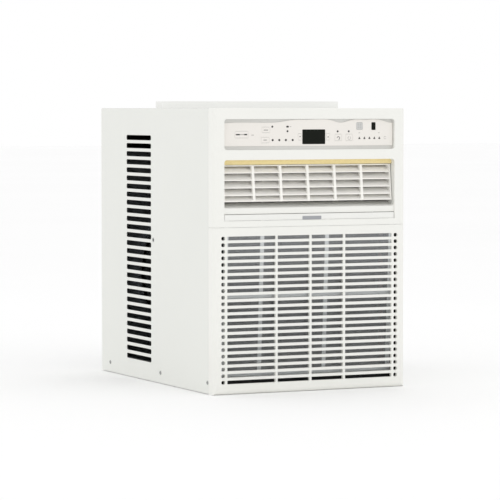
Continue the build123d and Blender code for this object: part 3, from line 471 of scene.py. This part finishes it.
rubber = black_rubber()
window_tint = tinted_window()
board_lacquer = circuit_board()
dark_ink = ink("dark_print", srgb(46, 44, 42))
grey_ink = ink("grey_print", srgb(168, 166, 162))
print("small finishes", rubber.name, window_tint.name, board_lacquer.name)

# %% [markdown]
# ## Dressing the model
# Each node of the model keeps its shape and gets one finish. A table from finish to nodes
# reads like a maker's parts list, and the last line shows whether a node was forgotten.

# %% Which node has which finish
VANES = 6
film_keys = [name for name in nodes if name.endswith("_button") and name != "sleep_button"]
dress = {
    case_coat_painted_shade_inside: ["cabinet", "base_pan", "bulkhead"],
    rail_coat: ["top_rail"],
    guard_coat: ["rear_guard"],
    front_plastic: ["front_fascia", "intake_grille"],
    louvre_plastic: ["louvre", "vane_link"] + [f"vane_{number + 1}" for number in range(VANES)],
    filter_plastic: ["filter_frame"],
    tab_plastic: ["filter_tab"],
    panel_film: ["control_overlay"] + film_keys,
    sleep_plastic: ["sleep_button"],
    bezel_painted_shade: ["control_bezel"],
    window_tint: ["display_window", "receiver_window"],
    board_lacquer: ["control_board"],
    tan_foam: ["outlet_foam"],
    bead_foam: ["outlet_duct", "blower_scroll"],
    galvanised: ["fan_shroud", "evaporator_plates", "condenser_plates",
                 "motor_bracket", "control_box"],
    zinc_plate: ["housing_screws", "rivet_nuts", "compressor_bolts"],
    ground_steel: ["motor_shaft"],
    copper: ["evaporator_tubes", "condenser_tubes", "suction_pipe", "discharge_pipe",
             "capillary_tube"],
    fin_metal: ["evaporator_fins", "condenser_fins"],
    black_enamel: ["compressor", "accumulator"],
    motor_paint: ["fan_motor"],
    fan_plastic: ["blower_wheel", "condenser_fan"],
    can_metal: ["run_capacitor"],
    rubber: ["cord_gland", "drain_plug", "compressor_grommets"],
    grey_ink: ["filter_mesh"],
}
for finish, names in dress.items():
    for name in names:
        nodes[name].data.materials.clear()
        nodes[name].data.materials.append(finish)
left_over = set(nodes) - {name for names in dress.values() for name in names}
print("undressed nodes", sorted(left_over))


# %% [markdown]
# ## Growing what repeats
# A Geometry Nodes tree says how one fin or one strand is shaped and how often it comes.
# The helpers below build a tree with named inputs, run it once and keep the result as a
# plain mesh, so that nothing live is left on the piece.

# %% Helpers for the trees
def new_tree(name, sizes, fed=False):
    """An empty tree with a named input for each size; a fed one also takes points."""
    tree = bpy.data.node_groups.new(name, "GeometryNodeTree")
    if fed:
        tree.interface.new_socket("Places", in_out="INPUT", socket_type="NodeSocketGeometry")
    kinds = {int: "NodeSocketInt", float: "NodeSocketFloat", tuple: "NodeSocketVector"}
    for label, value in sizes.items():
        tree.interface.new_socket(label, in_out="INPUT", socket_type=kinds[type(value)])
    tree.interface.new_socket("Geometry", in_out="OUTPUT", socket_type="NodeSocketGeometry")
    return tree, tree.nodes.new("NodeGroupInput").outputs


def step(tree, kind, settings, inputs):
    """One node of a tree, with its settings and its sockets."""
    made = tree.nodes.new(kind)
    for key, value in settings.items():
        setattr(made, key, value)
    for key, value in inputs.items():
        if isinstance(value, bpy.types.NodeSocket):
            tree.links.new(value, made.inputs[key])
        else:
            made.inputs[key].default_value = value
    return made.outputs


def maths(tree, operation, first, second=0.0, clamp=False):
    """The result of one Math node."""
    settings = {"operation": operation, "use_clamp": clamp}
    return step(tree, "ShaderNodeMath", settings, {0: first, 1: second})[0]


def close_tree(tree, geometry, material):
    """Make real meshes of the instances and give them a material."""
    real = step(tree, "GeometryNodeRealizeInstances", {}, {0: geometry})
    painted = step(tree, "GeometryNodeSetMaterial", {}, {0: real[0], "Material": material})
    step(tree, "NodeGroupOutput", {}, {0: painted[0]})


def grow(name, tree, sizes, place=Matrix.Identity(4), points=None):
    """Run a tree once and return its result as a plain object with its place in its mesh."""
    piece = bpy.data.objects.new(name, points or bpy.data.meshes.new(name))
    bpy.context.scene.collection.objects.link(piece)
    modifier = piece.modifiers.new("grow", "NODES")
    modifier.node_group = tree
    for item in tree.interface.items_tree:
        if item.in_out == "INPUT" and item.name in sizes:
            modifier[item.identifier] = sizes[item.name]
    evaluated = piece.evaluated_get(bpy.context.evaluated_depsgraph_get())
    mesh = bpy.data.meshes.new_from_object(evaluated)
    piece.modifiers.clear()
    mesh.transform(place)
    mesh.name = name
    piece.data = mesh
    print(name, "has", len(mesh.polygons), "faces")
    return piece


# %% [markdown]
# ## Fins of both coils
# Each coil is a stack of aluminium fins, each thinner than card and about 2 mm from the
# next. Through the grille and the slots they read as fine upright lines. One fin is a thin
# sheet pressed into waves, which stiffens it; the tree bends a flat sheet by a sine and
# sets it along a line.

# %% Coil fins
END_SPACE = 0.7 * MM
FIN_THICK = 0.2 * MM


def fin_tree(material):
    """A row of thin wavy sheets along X."""
    vector = (0.0, 0.0, 0.0)
    sizes = {
        "Count": 1, "Pitch": vector, "Start": vector, "Sheet": vector, "Wave": 0.0, "Waves": 0.0}
    tree, given = new_tree("coil fins", sizes)
    sheet = step(tree, "GeometryNodeMeshCube", {}, {
        "Size": given["Sheet"], "Vertices X": 2, "Vertices Y": 13, "Vertices Z": 2})
    place = step(tree, "GeometryNodeInputPosition", {}, {})
    along = step(tree, "ShaderNodeSeparateXYZ", {}, {0: place[0]})
    sine = maths(tree, "SINE", maths(tree, "MULTIPLY", along["Y"], given["Waves"]))
    shift = maths(tree, "MULTIPLY", sine, given["Wave"])
    offset = step(tree, "ShaderNodeCombineXYZ", {}, {0: shift})
    wavy = step(tree, "GeometryNodeSetPosition", {}, {"Geometry": sheet[0], "Offset": offset[0]})
    line = step(tree, "GeometryNodeMeshLine", {}, {
        "Count": given["Count"], "Start Location": given["Start"], "Offset": given["Pitch"]})
    row = step(tree, "GeometryNodeInstanceOnPoints", {}, {
        "Points": line[0], "Instance": wavy[0]})
    close_tree(tree, row[0], material)
    return tree


def coil_fins(name, node, pitch):
    """Thin fins that fill the space of the model's coarse ones."""
    low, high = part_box(node)
    count = int((high.x - low.x) / pitch)
    middle = (low + high) / 2
    sizes = {
        "Count": count,
        "Pitch": ((high.x - low.x - 2 * END_SPACE) / (count - 1), 0.0, 0.0),
        "Start": (low.x + END_SPACE, middle.y, middle.z),
        "Sheet": (FIN_THICK, high.y - low.y, high.z - low.z),
        "Wave": 0.35 * MM,
        "Waves": 1400.0,
    }
    piece = grow(name, fins, sizes)
    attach(piece, "chassis")
    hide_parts(node)


fins = fin_tree(fin_metal)
coil_fins("evaporator_fin_pack", "evaporator_fins", 1.9 * MM)
coil_fins("condenser_fin_pack", "condenser_fins", 2.0 * MM)

# %% [markdown]
# ## Net of the air filter
# The filter's net is woven from grey strands and moulded into its frame. The frame leans
# forward, so the tree lays the strands out flat and the finished mesh is turned into the
# frame's plane, which the frame's own box gives.

# %% Plane of the filter
mesh_low, mesh_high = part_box("filter_mesh")
lean = math.atan2(mesh_high.y - mesh_low.y, mesh_high.z - mesh_low.z)
net_width = mesh_high.x - mesh_low.x
net_height = (mesh_high.z - mesh_low.z) / math.cos(lean)
net_place = Matrix.Translation((mesh_low + mesh_high) / 2) @ Matrix.Rotation(lean, 4, "X")
print("filter leans", round(math.degrees(lean), 2), "degrees")


# %% Weaving the net
def net_tree(material):
    """Upright strands and level strands, each a long thin bar, on a flat sheet."""
    sizes = {"Columns": 1, "Rows": 1, "Width": 0.0, "Height": 0.0, "Strand": 0.0}
    tree, given = new_tree("filter net", sizes)
    layers = []
    ways = (("Columns", "Width", "Height", 0), ("Rows", "Height", "Width", 2))
    for count, across, length, axis in ways:
        half = maths(tree, "MULTIPLY", given[across], 0.5)
        start = step(tree, "ShaderNodeCombineXYZ", {}, {axis: maths(tree, "MULTIPLY", half, -1.0)})
        end = step(tree, "ShaderNodeCombineXYZ", {}, {axis: half})
        line = step(tree, "GeometryNodeMeshLine", {"mode": "END_POINTS"}, {
            "Count": given[count], "Start Location": start[0], "Offset": end[0]})
        thin = {side: given["Strand"] for side in range(3)}
        size = step(tree, "ShaderNodeCombineXYZ", {}, thin | {2 - axis: given[length]})
        strand = step(tree, "GeometryNodeMeshCube", {}, {"Size": size[0]})
        row = step(tree, "GeometryNodeInstanceOnPoints", {}, {
            "Points": line[0], "Instance": strand[0]})
        layers.append(row[0])
    both = tree.nodes.new("GeometryNodeJoinGeometry")
    for layer in layers:
        tree.links.new(layer, both.inputs[0])
    close_tree(tree, both.outputs[0], material)
    return tree


net_strand = ink("net_strand", srgb(172, 174, 177))
net_sizes = {
    "Columns": 190, "Rows": 158, "Width": net_width, "Height": net_height, "Strand": 0.62 * MM}
net = grow("filter_net", net_tree(net_strand), net_sizes, net_place)
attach(net, "filter")
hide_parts("filter_mesh")


# %% [markdown]
# ## Printing on the panel
# The panel film is bowed: its middle stands nearest and its ends are set back. The dots,
# bars and arrows are printed on it, so each mark is a thin plate laid on that bow, and a
# mark on a key rides on the key and moves with it when it is pressed. The marks are plain
# shapes without any lettering.

# %% The bow of the film
film_low, film_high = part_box("control_overlay")
FILM_THICK = 1.6 * MM
INK_LIFT = 0.06 * MM
INK_ROOT = 0.1 * MM
film_half = film_high.x
film_sag = film_high.y - film_low.y - FILM_THICK


def film_y(x):
    """Y of the film's face at a distance from the middle."""
    return film_low.y + film_sag * (x / film_half) ** 2


def lay_marks(name, body, marks, material):
    """Thin plates on the film, from outlines in millimetres round their middles."""
    shape = bmesh.new()
    for x, z, outline in marks:
        corners = [((x + dx) * MM, (z + dz) * MM) for dx, dz in outline]
        near = [shape.verts.new((px, film_y(px) - INK_LIFT, pz)) for px, pz in corners]
        far = [shape.verts.new((px, film_y(px) + INK_ROOT, pz)) for px, pz in corners]
        shape.faces.new(near)
        shape.faces.new(reversed(far))
        for index, corner in enumerate(near):
            following = (index + 1) % len(near)
            shape.faces.new((corner, far[index], far[following], near[following]))
    bmesh.ops.recalc_face_normals(shape, faces=shape.faces)
    mesh = bpy.data.meshes.new(name)
    shape.to_mesh(mesh)
    shape.free()
    mesh.materials.append(material)
    piece = bpy.data.objects.new(name, mesh)
    bpy.context.scene.collection.objects.link(piece)
    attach(piece, body)
    print(name, len(marks), "marks")


# %% Outlines of the marks
def bar_mark(width, height):
    """A bar with clipped corners."""
    side, top = width / 2, height / 2
    clip = min(side, top) * 0.4
    left = [(side - clip, top), (clip - side, top), (-side, top - clip), (-side, clip - top)]
    return left + [(-x, -z) for x, z in left]


def dot_mark(radius, sides=16):
    """A round dot."""
    turns = [2 * math.pi * side / sides for side in range(sides)]
    return [(radius * math.cos(turn), radius * math.sin(turn)) for turn in turns]


def arrow_mark(size, up=1):
    """A small triangle that points up or down."""
    side, tip = size / 2, up * size / 2
    return [(-side, -tip), (side, -tip), (0, tip)][::up]


def arc_mark(radius, width, start, end, sides=12):
    """A bent stroke between two angles, in degrees."""
    turns = [math.radians(start + (end - start) * side / sides) for side in range(sides + 1)]
    outer = [(radius * math.cos(turn), radius * math.sin(turn)) for turn in turns]
    small = radius - width
    inner = [(small * math.cos(turn), small * math.sin(turn)) for turn in reversed(turns)]
    return outer + inner


# %% Marks that belong to the film and to each key
lay_marks("lamp_marks", "chassis", [
    (-78.1, 490.8, dot_mark(1.9)), (-47.3, 490.8, bar_mark(5.0, 3.2)),
    (-47.3, 482.4, dot_mark(1.9)),
    *[(x, 466.2, dot_mark(2.1)) for x in (-77.3, -64.0, -50.6, -36.7)],
    (56.6, 481.8, dot_mark(1.9)), (80.1, 481.8, dot_mark(1.9)),
    *[(x, 469.7, arrow_mark(4.8)) for x in (102.8, 113.6, 124.4, 135.1, 145.8)],
], dark_ink)
lay_marks("faint_marks", "chassis", [
    *[(x, 478.9, bar_mark(3.4, 1.0)) for x in (102.8, 144.8)],
    (158.1, 469.6, arc_mark(2.6, 0.6, 20, 340)), (-117.6, 475.6, bar_mark(5.0, 1.2)),
    (-41.0, 490.8, bar_mark(3.0, 1.0)),
], grey_ink)
lay_marks("power_print", "power_key", [
    (-147.0, 476.5, bar_mark(8.0, 2.4)), (-131.5, 476.5, bar_mark(6.2, 2.4)),
], dark_ink)
lay_marks("power_print_middle", "power_key", [(-138.9, 476.5, bar_mark(8.0, 1.6))], grey_ink)
lay_marks("speed_print", "speed_key", [(-91.0, 484.6, bar_mark(9.0, 1.8))], grey_ink)
lay_marks("mode_print", "mode_key", [(-92.5, 466.3, bar_mark(7.0, 1.8))], grey_ink)
lay_marks("down_print", "temp_down_key", [(-21.6, 472.0, arrow_mark(2.6, -1))], dark_ink)
lay_marks("up_print", "temp_up_key", [(36.6, 472.0, arrow_mark(2.6))], dark_ink)
lay_marks("timer_print", "timer_key", [(58.2, 469.3, arc_mark(3.2, 1.1, -80, 170))], dark_ink)
lay_marks("eco_print", "eco_key", [(81.2, 469.3, arc_mark(3.2, 0.7, 100, 430))], grey_ink)
lay_marks("sleep_print", "sleep_key", [
    *[(103.2 + dx, 491.6 + dz, bar_mark(3.2, 1.0))
      for dx in (-2.4, 2.4) for dz in (-3.4, 0.0, 3.4)],
], grey_ink)

# %% [markdown]
# ## Screw heads
# The case is held by pan-head screws with a cross recess, and the model has plain discs
# for heads. Ten heads that face three ways are a job for points: each point keeps the way
# it faces in an attribute, and the tree stands one head on every point, turned to match.
# The head is a flat cone of rings that the tree lifts into a dome with a steep rim. The cross
# recess is two near-black bars in the crown, as painted shade in the recess.

# %% Points for the heads
SIDE_PLACES = [(25.6, 21.7), (242.0, 20.8), (492.0, 20.1)]
RAIL_PLACES = [-150, -50, 50, 150]
RAIL_FLOOR = 2.0 * MM
rail_low, rail_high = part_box("top_rail")
rail_middle = (rail_low.y + rail_high.y) / 2
head_places = [
    ((side * half_width, at_depth(depth), z * MM), (side, 0, 0))
    for side in (-1, 1) for depth, z in SIDE_PLACES
]
head_places += [((x * MM, rail_middle, case_top + RAIL_FLOOR), (0, 0, 1)) for x in RAIL_PLACES]


def facing_points(name):
    """Loose points, each with the way that its head faces."""
    mesh = bpy.data.meshes.new(name)
    mesh.from_pydata([place for place, _ in head_places], [], [])
    facings = mesh.attributes.new("facing", "FLOAT_VECTOR", "POINT")
    facings.data.foreach_set("vector", [value for _, facing in head_places for value in facing])
    return mesh


def on_points(tree, points, shape):
    """The shape on every point, turned so that its Z follows the point's facing."""
    facing = step(tree, "GeometryNodeInputNamedAttribute", {"data_type": "FLOAT_VECTOR"}, {
        "Name": "facing"})
    turn = step(tree, "FunctionNodeAlignRotationToVector", {"axis": "Z"}, {
        "Vector": facing[0]})
    return step(tree, "GeometryNodeInstanceOnPoints", {}, {
        "Points": points, "Instance": shape, "Rotation": turn[0]})[0]


print("head places", len(head_places))


# %% Heads and the painted shade of their crosses
def head_tree(material):
    """Pan heads: rings raised into a dome that is nearly flat on top."""
    sizes = {"Radius": 0.0, "Height": 0.0, "Rings": 1, "Sides": 1}
    tree, given = new_tree("screw heads", sizes, fed=True)
    cone = step(tree, "GeometryNodeMeshCone", {}, {
        "Vertices": given["Sides"], "Side Segments": given["Rings"], "Radius Top": 0.0,
        "Radius Bottom": given["Radius"], "Depth": given["Height"]})
    place = step(tree, "GeometryNodeInputPosition", {}, {})
    flat = step(tree, "ShaderNodeVectorMath", {"operation": "MULTIPLY"}, {
        0: place[0], 1: (1.0, 1.0, 0.0)})
    reach = step(tree, "ShaderNodeVectorMath", {"operation": "LENGTH"}, {0: flat[0]})
    fourth = maths(tree, "POWER", maths(tree, "DIVIDE", reach["Value"], given["Radius"]), 4.0)
    dome = maths(tree, "SQRT", maths(tree, "SUBTRACT", 1.0, fourth, clamp=True))
    up = step(tree, "ShaderNodeCombineXYZ", {}, {2: maths(tree, "MULTIPLY", dome, given["Height"])})
    where = step(tree, "ShaderNodeVectorMath", {"operation": "ADD"}, {0: flat[0], 1: up[0]})
    head = step(tree, "GeometryNodeSetPosition", {}, {
        "Geometry": cone["Mesh"], "Position": where[0]})
    smooth = step(tree, "GeometryNodeSetShadeSmooth", {}, {"Geometry": head[0]})
    close_tree(tree, on_points(tree, given["Places"], smooth[0]), material)
    return tree


def cross_shade_tree(material):
    """Crosses: two crossed near-black bars in the crown of each head, as painted shade in the
    recess.
    """
    sizes = {"Long": 0.0, "Wide": 0.0, "Sunk": 0.0, "Lift": 0.0}
    tree, given = new_tree("screw crosses", sizes, fed=True)
    both = tree.nodes.new("GeometryNodeJoinGeometry")
    for across, along in (("Long", "Wide"), ("Wide", "Long")):
        size = step(tree, "ShaderNodeCombineXYZ", {}, {
            0: given[across], 1: given[along], 2: given["Sunk"]})
        bar = step(tree, "GeometryNodeMeshCube", {}, {"Size": size[0]})
        tree.links.new(bar[0], both.inputs[0])
    up = step(tree, "ShaderNodeCombineXYZ", {}, {2: given["Lift"]})
    lifted = step(tree, "GeometryNodeSetPosition", {}, {
        "Geometry": both.outputs[0], "Offset": up[0]})
    close_tree(tree, on_points(tree, given["Places"], lifted[0]), material)
    return tree


# %% Growing the screws
HEAD_HEIGHT = 1.15 * MM
SUNK = 0.9 * MM
PROUD = 0.03 * MM
head_sizes = {"Radius": 4.0 * MM, "Height": HEAD_HEIGHT, "Rings": 8, "Sides": 32}
cross_lift = HEAD_HEIGHT + PROUD - SUNK / 2
cross_sizes = {"Long": 4.2 * MM, "Wide": 0.9 * MM, "Sunk": SUNK, "Lift": cross_lift}
head_points = facing_points("head_points")
cross_points = facing_points("cross_points")
heads = grow("screw_heads", head_tree(zinc_plate), head_sizes, points=head_points)
# The near-black of the rubber finish is used here as painted shade in the cross recesses.
cross_shades = grow("screw_cross_shades", cross_shade_tree(rubber), cross_sizes, points=cross_points)
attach(heads, "chassis")
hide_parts("housing_screws")
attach(cross_shades, "chassis")

# %% [markdown]
# ## Floor
# The floor isn't part of the unit. It only catches the thin shadow that shows the unit
# stands on something.

# %% Floor sheet
floor_finish = Finish("studio_floor", srgb(252, 252, 252), 0.9)
floor_tone = floor_finish.noise(0.7, 2.0)
floor_colour = floor_finish.mix(floor_tone, srgb(251, 251, 251), srgb(254, 254, 254))
floor_finish.give("Base Color", floor_colour)
floor_mesh = bpy.data.meshes.new("studio_floor")
FLOOR_REACH = 30.0
corners = [(x * FLOOR_REACH, y * FLOOR_REACH, 0) for x, y in ((-1, -1), (1, -1), (1, 1), (-1, 1))]
floor_mesh.from_pydata(corners, [], [(0, 1, 2, 3)])
floor_mesh.materials.append(floor_finish.material)
floor = bpy.data.objects.new("studio_floor", floor_mesh)
bpy.context.scene.collection.objects.link(floor)
print("floor laid")
